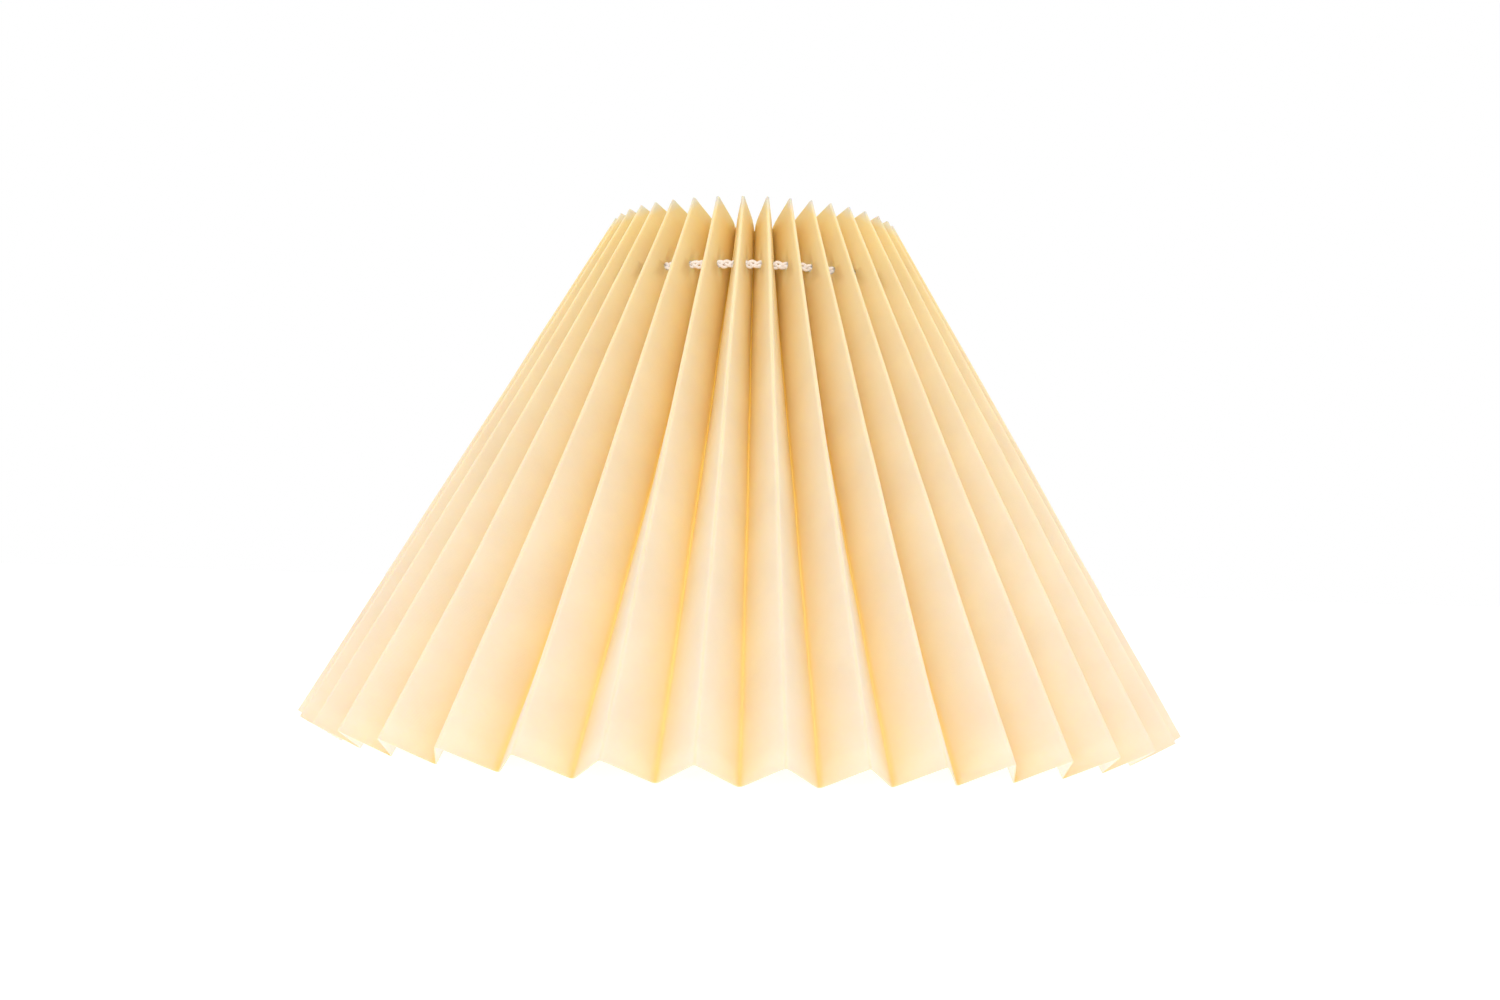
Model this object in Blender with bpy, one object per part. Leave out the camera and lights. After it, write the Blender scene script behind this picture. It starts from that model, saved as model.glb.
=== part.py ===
"""Pleated empire lamp shade: one folded sheet gathered on a cord, on a wire carrier with a holder ring.

Metres, +Z up, the front towards -Y. The origin is the middle of the circle that the shade stands on.
A place on the folded sheet is (s, t): s runs up the fold from the lower edge, t runs across one strip
from its outer (mountain) fold to its inner (valley) fold. A strip is named by its mountain fold and
by the side of that fold it lies on.
"""
import bpy
import bmesh
from math import asin, ceil, cos, pi, radians, sin, sqrt
from mathutils import Vector
from mathutils.geometry import delaunay_2d_cdt

# ---- driving sizes -----------------------------------------------------------------------------
BOTTOM_DIAMETER = 0.300      # over the outer folds, at the lower edge
TOP_DIAMETER = 0.100         # over the outer folds, at the upper edge
FOLD_LENGTH = 0.199          # the sheet's cut height, along a fold
PLEATS = 40                  # outer folds in the round
STRIP_WIDTH = 0.01775        # from one fold to the next across the flat sheet
SHEET = 0.0005               # fabric laminated on its backing
CREASE = 0.0007              # width of the pressed edge of a fold
FACET_TWIST = 0.001          # how far a corner of a facet may stand off the plane of the others
CLEAR = 0.0003               # air between pieces that touch

CORD = 0.0028                # gathering cord
CORD_FROM_TOP = 0.0225       # cord centre, down the fold from the upper edge
CORD_SHARE = 0.45            # place of a cord hole across the strip, from the outer fold
HOLE_AIR = 0.0009            # air round the cord in its hole
KNOT_SIZE = 1.9              # the knot up and outwards, in cord diameters
KNOT_PROUD = 0.3             # its middle outside the cord's own line, in cord diameters
TAIL_LENGTH = 0.020          # free ends past the knot
TAIL_THICK = 0.9             # a free end, pressed together, in cord diameters
TAIL_ROOT = 0.22             # its start in the knot, aside of the middle, in cord diameters
TAIL_ASIDE = 0.54            # its middle aside of the groove's middle, in cord diameters
TAIL_SPREAD = 0.1            # how much further its tip stands aside
TAIL_AIR = 0.0007            # air between a free end and the strip beside it

LAP_PAST_HOLE = 0.0019       # end strip, glued over the first one, ends this far past the cord hole
LAP_START = 0.0018           # edge of the first strip, short of the fold that the lap comes over
TAPE = 0.00025               # double-sided tape in the lap
TAPE_EDGE = 0.0009           # tape kept back from the edges of the lap
TAPE_END = 0.004             # tape kept back from the upper and lower edges

WIRE = 0.0024                # carrier wire
RIM_FROM_TOP = 0.046         # where the inner folds rest on the rim ring, down from the upper edge
SPOKES = 3
SPOKE_TURN = radians(32)     # about where the first spoke lies, from the front
HOLDER_DROP = 0.012          # holder ring under the rim ring
SPOKE_FLAT = 0.007           # level run at the ends of a spoke

HOLDER_BORE = 0.042          # for a lampholder with a 40 mm sleeve
HOLDER_WIDTH = 0.006         # radial width of the flange
HOLDER_SHEET = 0.0016        # pressed steel
HOLDER_COLLAR = 0.005        # depth of the turned-down collar
REDUCER_BORE = 0.029         # for a lampholder with a 28 mm sleeve
REDUCER_FIT = 0.0005         # radial air between reducer and holder bore
REDUCER_LIP = 0.0022         # reducer's flange over the holder ring
REDUCER_LIP_THICK = 0.0016
REDUCER_DEPTH = 0.0050       # spigot below the flange
RING_SIDES = 48
WIRE_SIDES = 8
FACET_AIR = 0.0001           # more air where a faceted round meets a cut end

# ---- what follows from them --------------------------------------------------------------------
BOTTOM_R = BOTTOM_DIAMETER / 2
TOP_R = TOP_DIAMETER / 2
LEAN_SIN = (BOTTOM_R - TOP_R) / FOLD_LENGTH
LEAN_COS = sqrt(1 - LEAN_SIN ** 2)
PITCH = 2 * pi / PLEATS
HALF_PITCH = PITCH / 2
HOLE_R = CORD / 2 + HOLE_AIR
LAP = CORD_SHARE * STRIP_WIDTH + HOLE_R + LAP_PAST_HOLE
CORD_S = FOLD_LENGTH - CORD_FROM_TOP
RIM_S = FOLD_LENGTH - RIM_FROM_TOP
LAP_LIFT = SHEET + TAPE + 2 * CLEAR

# A strip twists on its way up, because its pleat closes. Short facets keep the layers of the lap apart.
TWIST = asin(BOTTOM_R * sin(HALF_PITCH) / STRIP_WIDTH) - asin(TOP_R * sin(HALF_PITCH) / STRIP_WIDTH)
ROW_COUNT = ceil(STRIP_WIDTH * TWIST / FACET_TWIST)
ROWS = [FOLD_LENGTH * i / ROW_COUNT for i in range(ROW_COUNT + 1)]


def clear_scene():
    for obj in list(bpy.data.objects):
        bpy.data.objects.remove(obj, do_unlink=True)


def material(name, color, roughness, metallic=0.0):
    mat = bpy.data.materials.new(name)
    mat.use_nodes = True
    shader = mat.node_tree.nodes["Principled BSDF"]
    shader.inputs["Base Color"].default_value = (*color, 1.0)
    shader.inputs["Roughness"].default_value = roughness
    shader.inputs["Metallic"].default_value = metallic
    mat.diffuse_color = (*color, 1.0)
    return mat


def add_object(name, mesh, mat, location=(0, 0, 0), smooth=True):
    obj = bpy.data.objects.new(name, mesh)
    obj.location = location
    bpy.context.scene.collection.objects.link(obj)
    mesh.materials.append(mat)
    if smooth:
        mesh.shade_smooth()
        mesh.set_sharp_from_angle(angle=radians(35))
    return obj


# ---- the folded sheet --------------------------------------------------------------------------
def around(angle):
    """Unit vectors outwards and along the round, at an angle from the front."""
    return Vector((sin(angle), -cos(angle), 0)), Vector((cos(angle), sin(angle), 0))


def mountain_angle(mountain):
    """Mountains lie half a pitch either side of the back, so a valley faces straight back."""
    return pi + (mountain + 0.5) * PITCH


def fold_depth(radius):
    """Depth of a pleat under its crest that keeps the strip at its width, at this crest radius."""
    bend = 1 - cos(HALF_PITCH)
    lean = radius * LEAN_COS * bend
    return lean + sqrt(lean ** 2 - 2 * radius ** 2 * bend + STRIP_WIDTH ** 2)


def crest_height(s):
    return s * LEAN_COS


def crest_radius(s):
    return BOTTOM_R - s * LEAN_SIN


def cone_normal(angle):
    out, _ = around(angle)
    return out * LEAN_COS + Vector((0, 0, LEAN_SIN))


def fold_points(s, mountain, side):
    """Edges of a strip on its two folds, half a crease away from each fold's own plane."""
    radius, height = crest_radius(s), crest_height(s)
    depth = fold_depth(radius)
    angle = mountain_angle(mountain)
    out, along = around(angle)
    crest = out * radius + Vector((0, 0, height)) + along * side * CREASE / 2
    valley_out, valley_along = around(angle + side * HALF_PITCH)
    valley = valley_out * (radius - depth * LEAN_COS) + Vector((0, 0, height - depth * LEAN_SIN))
    return crest, valley - valley_along * side * CREASE / 2


def strip_normal(s, mountain, side):
    """Normal of the strip, on the outer side of the sheet."""
    crest, valley = fold_points(s, mountain, side)
    out, _ = around(mountain_angle(mountain))
    up_fold = Vector((0, 0, LEAN_COS)) - out * LEAN_SIN
    normal = up_fold.cross(valley - crest).normalized()
    return normal if normal.dot(out) > 0 else -normal


def strip_point(s, t, mountain, side, lift=0.0):
    crest, valley = fold_points(s, mountain, side)
    return crest.lerp(valley, t / STRIP_WIDTH) + strip_normal(s, mountain, side) * lift


def mitre(first, second):
    """Direction and length that keep a wall's thickness where two of its faces meet."""
    return (first + second) / (1 + first.dot(second))


class Sheet:
    """Middle surface of a bent sheet, thickened into one closed wall."""

    def __init__(self, thickness):
        self.thickness = thickness
        self.places = {}
        self.points = []
        self.offsets = []
        self.faces = []

    def corner(self, key, point, offset):
        if key not in self.places:
            self.places[key] = len(self.points)
            self.points.append(point)
            self.offsets.append(offset)
        return self.places[key]

    def face(self, corners):
        """Adds a face turned so that it looks the way its corners' offsets do."""
        a, b, c = (self.points[i] for i in corners[:3])
        looks = sum((self.offsets[i] for i in corners), Vector())
        if (b - a).cross(c - a).dot(looks) < 0:
            corners = corners[::-1]
        self.faces.append(tuple(corners))

    def mesh(self, name, lift):
        count = len(self.points)
        half = self.thickness / 2
        rise = Vector((0, 0, lift))
        verts = [p + o * half + rise for p, o in zip(self.points, self.offsets)]
        verts += [p - o * half + rise for p, o in zip(self.points, self.offsets)]
        faces = list(self.faces)
        faces += [tuple(count + i for i in reversed(face)) for face in self.faces]
        used = {(a, b) for face in self.faces for a, b in zip(face, face[1:] + face[:1])}
        faces += [(b, a, count + a, count + b) for a, b in sorted(used) if (b, a) not in used]
        mesh = bpy.data.meshes.new(name)
        mesh.from_pydata(verts, [], faces)
        mesh.validate()
        return mesh

    def lowest(self):
        half = self.thickness / 2
        return min(p.z - abs(o.z) * half for p, o in zip(self.points, self.offsets))


def panel_outline(t_from, t_to, heights):
    """Corners of a panel in (s, t), round its edge."""
    return [(s, t_from) for s in heights] + [(s, t_to) for s in heights[::-1]]


def hole_ring(s, t, radius, sides=8):
    """A round hole: its corners in (s, t)."""
    return [(s + radius * cos(2 * pi * (i + 0.5) / sides), t + radius * sin(2 * pi * (i + 0.5) / sides))
            for i in range(sides)]


def add_panel(sheet, label, outline, hole, place):
    """Fills an outline, less a hole, with triangles and places its corners on the sheet."""
    loops = [outline, hole] if hole else [outline]
    flat, edges = [], []
    for loop in loops:
        first = len(flat)
        flat += loop
        edges += [(first + i, first + (i + 1) % len(loop)) for i in range(len(loop))]
    inside_outline = 1
    _, _, triangles, came_from, _, _ = delaunay_2d_cdt(
        [Vector(p) for p in flat], edges, [], inside_outline, 1e-7)
    for triangle in triangles:
        if all(vertex >= len(outline) for vertex in triangle):
            continue    # it lies in the hole
        corners = []
        for vertex in triangle:
            s, t = flat[came_from[vertex][0]]
            point, offset = place(s, t)
            corners.append(sheet.corner((label, round(s, 7), round(t, 7)), point, offset))
        sheet.face(corners)


def hole_t(lift=0.0):
    """The cord's crossing, which moves across the strip where a layer stands off its neighbour."""
    normal, out = strip_normal(CORD_S, 0, 1), cone_normal(mountain_angle(0))
    slope = normal.dot(out) / sqrt(1 - normal.dot(out) ** 2)
    return CORD_SHARE * STRIP_WIDTH + lift * slope


def add_strip(sheet, mountain, side, t_from=0.0):
    """One strip between its two folds, with its cord hole."""
    def place(s, t):
        normal = strip_normal(s, mountain, side)
        offset = normal
        if t < 1e-7:
            offset = mitre(normal, cone_normal(mountain_angle(mountain)))
        elif t > STRIP_WIDTH - 1e-7:
            offset = mitre(normal, cone_normal(mountain_angle(mountain) + side * HALF_PITCH))
        return strip_point(s, t, mountain, side), offset

    outline = panel_outline(t_from, STRIP_WIDTH, ROWS)
    add_panel(sheet, (mountain, side), outline, hole_ring(CORD_S, hole_t(), HOLE_R), place)


def add_crease(sheet, first, second, t):
    """Joins two strips along their common fold with a narrow face."""
    def corner(strip, s):
        return sheet.places[(strip, round(s, 7), round(t, 7))]

    for low, high in zip(ROWS, ROWS[1:]):
        sheet.face([corner(first, low), corner(first, high), corner(second, high), corner(second, low)])


def add_lap(sheet):
    """The end strip: it comes over the closing fold and lies on the first strip, a tape above it."""
    def place(s, t):
        normal = strip_normal(s, 0, 1)
        if t < 1e-7:
            return strip_point(s, t, 0, 1), mitre(normal, cone_normal(mountain_angle(0)))
        return strip_point(s, t, 0, 1, LAP_LIFT), normal

    ramp = panel_outline(0.0, LAP_START - CREASE, ROWS)
    add_panel(sheet, "lap", ramp, None, place)
    flat = panel_outline(LAP_START - CREASE, LAP, ROWS)
    add_panel(sheet, "lap", flat, hole_ring(CORD_S, hole_t(LAP_LIFT), HOLE_R), place)


def build_skin_sheet():
    sheet = Sheet(SHEET)
    for mountain in range(PLEATS):
        for side in (-1, 1):
            closing = mountain == 0 and side == 1
            add_strip(sheet, mountain, side, LAP_START if closing else 0.0)
    add_lap(sheet)
    for mountain in range(PLEATS):
        over_lap = "lap" if mountain == 0 else (mountain, 1)
        add_crease(sheet, (mountain, -1), over_lap, 0.0)
        add_crease(sheet, (mountain, 1), ((mountain + 1) % PLEATS, -1), STRIP_WIDTH)
    return sheet


def build_tape_sheet():
    sheet = Sheet(TAPE)
    heights = [TAPE_END] + ROWS[1:-1] + [FOLD_LENGTH - TAPE_END]

    def place(s, t):
        return strip_point(s, t, 0, 1, LAP_LIFT / 2), strip_normal(s, 0, 1)

    outline = panel_outline(LAP_START + TAPE_EDGE, LAP - TAPE_EDGE, heights)
    add_panel(sheet, "tape", outline, hole_ring(CORD_S, hole_t(LAP_LIFT / 2), HOLE_R), place)
    return sheet


# ---- wires, cords and rings --------------------------------------------------------------------
def tube_mesh(name, points, diameter, sides=WIRE_SIDES, closed=False):
    """A round bar along a path of points, its ends capped or its round closed."""
    count = len(points)
    bm = bmesh.new()
    loops = []
    for i, point in enumerate(points):
        before = points[i - 1] if (i or closed) else point
        after = points[(i + 1) % count] if (i < count - 1 or closed) else point
        ahead = (after - before).normalized()
        across = ahead.cross(Vector((0, 0, 1)))
        if across.length < 1e-4:
            across = ahead.cross(Vector((1, 0, 0)))
        across.normalize()
        over = across.cross(ahead)
        turns = [2 * pi * (k + 0.5) / sides for k in range(sides)]
        loops.append([bm.verts.new(point + (across * cos(a) + over * sin(a)) * diameter / 2)
                      for a in turns])
    pairs = list(zip(loops, loops[1:]))
    if closed:
        pairs.append((loops[-1], loops[0]))
    for near, far in pairs:
        for k in range(sides):
            bm.faces.new((near[k], near[(k + 1) % sides], far[(k + 1) % sides], far[k]))
    if not closed:
        bm.faces.new(loops[0][::-1])
        bm.faces.new(loops[-1])
    bmesh.ops.recalc_face_normals(bm, faces=bm.faces)
    mesh = bpy.data.meshes.new(name)
    bm.to_mesh(mesh)
    bm.free()
    return mesh


def arc_points(radius, height, start, end, steps):
    """Points round the axis at one height, from one angle to another."""
    angles = [start + (end - start) * i / steps for i in range(steps + 1)]
    return [around(a)[0] * radius + Vector((0, 0, height)) for a in angles]


def turned_mesh(name, profile, sides=RING_SIDES):
    """A ring turned about the axis from a closed profile of (radius, height) corners."""
    bm = bmesh.new()
    loops = [[bm.verts.new(around(2 * pi * i / sides)[0] * r + Vector((0, 0, z))) for r, z in profile]
             for i in range(sides)]
    for i in range(sides):
        near, far = loops[i], loops[(i + 1) % sides]
        for k in range(len(profile)):
            n = (k + 1) % len(profile)
            bm.faces.new((near[k], near[n], far[n], far[k]))
    bmesh.ops.recalc_face_normals(bm, faces=bm.faces)
    mesh = bpy.data.meshes.new(name)
    bm.to_mesh(mesh)
    bm.free()
    return mesh


def rounded_path(corners, bend=0.004, steps=4):
    """A path through corners, each one turned with a bend that starts this far from it."""
    path = [corners[0]]
    for before, corner, after in zip(corners, corners[1:], corners[2:]):
        near = corner + (before - corner).normalized() * bend
        far = corner + (after - corner).normalized() * bend
        for i in range(steps + 1):
            share = i / steps
            path.append(near.lerp(corner, share).lerp(corner.lerp(far, share), share))
    path.append(corners[-1])
    return path


def build_gathering_cord(mat, lift):
    """A ring through every hole, open at the back where its ends are knotted."""
    crossing = strip_point(CORD_S, hole_t(), 0, 1)
    radius, height = crossing.xy.length, crossing.z + lift
    knot_half = knot_half_width()
    open_angle = (knot_half + CLEAR) / radius
    points = arc_points(radius, height, pi + open_angle, 3 * pi - open_angle, 2 * PLEATS)
    add_object("gathering_cord", tube_mesh("gathering_cord", points, CORD), mat)


def knot_half_width():
    """Half the room between the two strips at the back valley, less the air that the knot keeps."""
    crossing = strip_point(CORD_S, hole_t(), 0, -1)
    return abs(crossing.x) - SHEET / 2 - CLEAR


def groove_point(s, half_width):
    """Where the back groove, on its way in from the crests, narrows to this half width."""
    crest, valley = fold_points(s, 0, -1)
    share = (abs(crest.x) - half_width) / (abs(crest.x) - abs(valley.x))
    return crest.lerp(valley, share)


def build_knot(mat, lift):
    """The knot in the back groove, with its two free ends lying down the groove."""
    crossing = strip_point(CORD_S, hole_t(), 0, 1)
    centre = Vector((0, crossing.xy.length, crossing.z + lift))
    size = Vector((knot_half_width(), CORD * KNOT_SIZE / 2, CORD * KNOT_SIZE / 2))
    bm = bmesh.new()
    bmesh.ops.create_uvsphere(bm, u_segments=14, v_segments=10, radius=1.0)
    bmesh.ops.scale(bm, vec=size, verts=bm.verts)
    bmesh.ops.translate(bm, vec=centre + Vector((0, CORD * KNOT_PROUD, 0)), verts=bm.verts)
    mesh = bpy.data.meshes.new("cord_knot")
    bm.to_mesh(mesh)
    bm.free()
    knot = add_object("cord_knot", mesh, mat)
    for side in (-1, 1):
        points = [centre + Vector((side * CORD * TAIL_ROOT, CORD * 0.4, 0))]
        for share in (0.35, 0.6, 0.8, 1.0):
            aside = CORD * (TAIL_ASIDE + TAIL_SPREAD * share)
            room = aside + CORD * TAIL_THICK / 2 + SHEET / 2 + TAIL_AIR
            _, y, z = groove_point(CORD_S - TAIL_LENGTH * share, room)
            points.append(Vector((side * aside, y, z + lift)))
        name = "cord_end_guide_" + ("left" if side < 0 else "right")
        end = add_object(name, tube_mesh(name, points, CORD * TAIL_THICK), mat)
        end.hide_render = True
        end.display_type = "WIRE"
        join = knot.modifiers.new("join " + name, "BOOLEAN")
        join.operation = "UNION"
        join.object = end


def build_carrier(steel, lift):
    """Rim ring that the inner folds rest on by their taper, spokes, and the holder ring they carry."""
    _, valley = fold_points(RIM_S, 0, 1)
    from_fold = SHEET / 2 + CLEAR + FACET_AIR + WIRE / 2
    rim_r = valley.xy.length - from_fold * LEAN_COS
    rim_z = valley.z - from_fold * LEAN_SIN + lift
    ring = arc_points(rim_r, rim_z, 0, 2 * pi, 2 * PLEATS)[:-1]
    add_object("carrier_rim_ring", tube_mesh("carrier_rim_ring", ring, WIRE, closed=True), steel)

    holder_z = rim_z - HOLDER_DROP
    bore = HOLDER_BORE / 2
    outer = bore + HOLDER_WIDTH
    profile = [(bore, 0), (outer, 0), (outer, -HOLDER_COLLAR),
               (outer - HOLDER_SHEET, -HOLDER_COLLAR), (outer - HOLDER_SHEET, -HOLDER_SHEET),
               (bore, -HOLDER_SHEET)]
    add_object("holder_ring", turned_mesh("holder_ring", profile), steel, (0, 0, holder_z))

    spoke_z = holder_z - HOLDER_COLLAR / 2
    for i in range(SPOKES):
        wanted = SPOKE_TURN + 2 * pi * i / SPOKES
        under_mountain = (round(wanted / PITCH - 0.5) + 0.5) * PITCH
        out, _ = around(under_mountain)
        rim_end = rim_r - WIRE / 2 - CLEAR - FACET_AIR
        holder_end = outer + CLEAR + FACET_AIR
        corners = [out * r + Vector((0, 0, z)) for r, z in (
            (rim_end, rim_z), (rim_end - SPOKE_FLAT, rim_z),
            (holder_end + SPOKE_FLAT, spoke_z), (holder_end, spoke_z))]
        name = f"carrier_spoke_{i + 1}"
        add_object(name, tube_mesh(name, rounded_path(corners), WIRE), steel)
    return holder_z


def build_reducer(mat, holder_z):
    """Plastic ring that drops into the holder ring for a narrower lampholder, and lifts out."""
    spigot = HOLDER_BORE / 2 - REDUCER_FIT
    lip = HOLDER_BORE / 2 + REDUCER_LIP
    bore = REDUCER_BORE / 2
    profile = [(bore, REDUCER_LIP_THICK), (lip, REDUCER_LIP_THICK), (lip, 0), (spigot, 0),
               (spigot, -REDUCER_DEPTH), (bore, -REDUCER_DEPTH)]
    add_object("reducer_ring", turned_mesh("reducer_ring", profile), mat, (0, 0, holder_z + CLEAR))


def build_shade():
    clear_scene()
    fabric = material("Laminated cream fabric", (0.94, 0.80, 0.56), 0.65)
    cord_white = material("White braided cord", (0.86, 0.84, 0.80), 0.80)
    tape_clear = material("Double-sided tape", (0.82, 0.80, 0.72), 0.40)
    steel = material("White enamelled steel", (0.86, 0.86, 0.84), 0.35)
    plastic = material("White moulded plastic", (0.88, 0.88, 0.86), 0.45)

    skin = build_skin_sheet()
    lift = -skin.lowest()
    add_object("pleated_skin", skin.mesh("pleated_skin", lift), fabric, smooth=False)
    tape = build_tape_sheet()
    add_object("seam_tape", tape.mesh("seam_tape", lift), tape_clear, smooth=False)
    build_gathering_cord(cord_white, lift)
    build_knot(cord_white, lift)
    holder_z = build_carrier(steel, lift)
    build_reducer(plastic, holder_z)


build_shade()
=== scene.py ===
# %% [markdown]
# # A pleated lamp shade
#
# This lesson dresses the CAD frame of a folded lamp shade. The real shade is one long strip of
# laminated fabric. It is punched and creased flat, folded like a concertina, drawn together on a
# cord and set on a small wire carrier. The script goes the same way: it draws one flat pleat,
# repeats it, and folds the whole strip with a rule in Geometry Nodes.

# %% Load the frame
from math import ceil, cos, pi, radians, sin

import bpy
import bmesh
from mathutils import Matrix, Quaternion, Vector
from mathutils.geometry import delaunay_2d_cdt


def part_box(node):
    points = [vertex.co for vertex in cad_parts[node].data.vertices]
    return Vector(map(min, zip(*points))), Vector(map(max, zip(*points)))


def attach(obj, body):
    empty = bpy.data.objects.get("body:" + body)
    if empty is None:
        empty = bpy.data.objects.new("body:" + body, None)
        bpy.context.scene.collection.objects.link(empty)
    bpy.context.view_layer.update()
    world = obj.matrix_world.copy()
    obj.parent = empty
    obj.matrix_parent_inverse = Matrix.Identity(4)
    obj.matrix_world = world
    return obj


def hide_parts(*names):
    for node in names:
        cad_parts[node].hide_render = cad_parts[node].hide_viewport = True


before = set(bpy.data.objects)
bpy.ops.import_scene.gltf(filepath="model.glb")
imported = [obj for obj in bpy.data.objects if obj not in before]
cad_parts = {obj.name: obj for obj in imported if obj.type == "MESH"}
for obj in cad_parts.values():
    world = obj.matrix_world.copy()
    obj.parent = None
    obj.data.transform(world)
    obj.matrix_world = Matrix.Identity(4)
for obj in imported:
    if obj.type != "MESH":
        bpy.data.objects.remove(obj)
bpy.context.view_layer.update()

# %% [markdown]
# ## Sizes
#
# The frame says where everything is. Heights and radii of the rings are read from the boxes of
# their nodes, so the looks stay with the design. What a box can't say, such as the width of a
# strip, is a named value in metres here.

# %% Sizes of the shade
MM = 0.001
PLEATS = 40
STRIP = 17.75 * MM          # from one fold to the next on the flat sheet
FOLD_LENGTH = 199 * MM      # cut height of the sheet
BOTTOM_R = 150 * MM         # circle of the outer folds at the lower edge
TOP_R = 50 * MM             # and at the upper edge
SHEET = 0.42 * MM           # fabric and backing
CORD_SHARE = 0.45           # place of a cord hole across its strip, from the outer fold
CORD_DOWN = 22.5 * MM       # cord hole, down the fold from the upper edge
LAP = 12.2 * MM             # width of the closing lap
LAP_START = 1.8 * MM        # edge of the first strip, short of the fold that the lap comes over
TAPE = 0.15 * MM            # double-sided tape in the lap
LAP_LIFT = SHEET + TAPE + 0.1 * MM      # how far the lap stands off the strip under it

LEAN_SIN = (BOTTOM_R - TOP_R) / FOLD_LENGTH
LEAN_COS = (1 - LEAN_SIN ** 2) ** 0.5
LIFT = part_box("pleated_skin")[1][2] - FOLD_LENGTH * LEAN_COS - SHEET / 4
print("outer folds start", round(LIFT / MM, 2), "mm above the floor")


# %% [markdown]
# ## Small helpers
#
# Colours are written as the sRGB hex values of a paint chart and turned to linear light by one
# function. One function adds a node of any kind to any tree, sets it up and links its inputs.
# Another turns a list of named sums into Math nodes, which keeps a long rule readable.

# %% Colour and node helpers
def linear(hex_colour):
    """An sRGB hex colour as linear RGBA."""
    channels = [int(hex_colour[i:i + 2], 16) / 255 for i in (1, 3, 5)]
    return tuple(c / 12.92 if c <= 0.04045 else ((c + 0.055) / 1.055) ** 2.4
                 for c in channels) + (1.0,)


def fill(tree, node, inputs):
    """Links or fills a node's inputs by name or by place."""
    for key, value in inputs.items():
        if isinstance(value, bpy.types.Node):
            value = next(s for s in value.outputs if s.enabled)
        if isinstance(value, bpy.types.NodeSocket):
            tree.links.new(value, node.inputs[key])
        else:
            node.inputs[key].default_value = value


def add(tree, kind, inputs=None, **settings):
    """Adds a node, sets its properties and fills its inputs."""
    node = tree.nodes.new(kind)
    for name, value in settings.items():
        setattr(node, name, value)
    fill(tree, node, inputs or {})
    return node


def work_out(tree, values, steps):
    """Adds one Math node for each step (name, operation, terms) and keeps its result by name."""
    for name, operation, *terms in steps:
        inputs = {i: values[term] if isinstance(term, str) else term for i, term in enumerate(terms)}
        values[name] = add(tree, "ShaderNodeMath", inputs, operation=operation, label=name)
    return values


def new_material(name):
    """A material with its tree and its shader."""
    mat = bpy.data.materials.new(name)
    mat.use_nodes = True
    return mat, mat.node_tree, mat.node_tree.nodes["Principled BSDF"]


# %% Object helpers
def new_object(name, mesh, *materials):
    obj = bpy.data.objects.new(name, mesh)
    bpy.context.scene.collection.objects.link(obj)
    for mat in materials:
        mesh.materials.append(mat)
    return obj


def baked(obj):
    """The object as its modifiers leave it, as a plain mesh in a new object; the old one goes."""
    name = obj.name
    graph = bpy.context.evaluated_depsgraph_get()
    mesh = bpy.data.meshes.new_from_object(obj.evaluated_get(graph), depsgraph=graph)
    bpy.data.objects.remove(obj)
    mesh.name = name
    return new_object(name, mesh)


def finished(name, bm):
    """The mesh that a bmesh has become."""
    mesh = bpy.data.meshes.new(name)
    bm.to_mesh(mesh)
    bm.free()
    return mesh


def turned_to(place, aim, axis):
    """The matrix that moves to a place and turns an axis to an aim."""
    return Matrix.Translation(place) @ aim.to_track_quat(axis, "Y").to_matrix().to_4x4()


def triangles(obj):
    return sum(len(p.vertices) - 2 for p in obj.data.polygons)


def node_tree(name, **inputs):
    """A Geometry Nodes tree with inputs of the kinds of the given values, and its input sockets."""
    kinds = {int: "NodeSocketInt", float: "NodeSocketFloat", tuple: "NodeSocketVector"}
    tree = bpy.data.node_groups.new(name, "GeometryNodeTree")
    tree.interface.new_socket("Geometry", in_out="INPUT", socket_type="NodeSocketGeometry")
    tree.interface.new_socket("Geometry", in_out="OUTPUT", socket_type="NodeSocketGeometry")
    for key, value in inputs.items():
        kind = kinds.get(type(value), "NodeSocketMaterial")
        tree.interface.new_socket(key.replace("_", " "), in_out="INPUT", socket_type=kind)
    return tree, {socket.name: socket for socket in add(tree, "NodeGroupInput").outputs}


def end_tree(tree, geometry, given):
    """Ends a tree with real geometry in its material."""
    real = add(tree, "GeometryNodeRealizeInstances", {0: geometry})
    painted = add(tree, "GeometryNodeSetMaterial", {0: real, "Material": given["Material"]})
    add(tree, "NodeGroupOutput", {0: painted})
    return tree


def node_modifier(obj, tree, **inputs):
    """Puts a Geometry Nodes tree on an object and sets its inputs by their identifiers."""
    modifier = obj.modifiers.new(tree.name, "NODES")
    modifier.node_group = tree
    for socket in tree.interface.items_tree:
        key = socket.name.replace(" ", "_")
        if socket.in_out == "INPUT" and key in inputs:
            modifier[socket.identifier] = inputs[key]
    obj.update_tag()
    return obj


# %% [markdown]
# ## Camera
#
# The camera comes first, so that every later step is judged from the right place. It stands a
# little over half a metre in front of the shade at about a third of its height, looks slightly up,
# and is tilted by under two degrees.

# %% Camera
CAMERA_TURN = radians(0.67)     # round the shade, from straight in front
CAMERA_DISTANCE = 0.5589
CAMERA_HEIGHT = 0.0518 + LIFT
CAMERA_UP = 0.0416              # radians above level
CAMERA_ASIDE = 0.0025           # radians, puts the shade a little left of the middle
CAMERA_ROLL = 0.0294
CAMERA_LENS = 37.9              # mm

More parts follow.
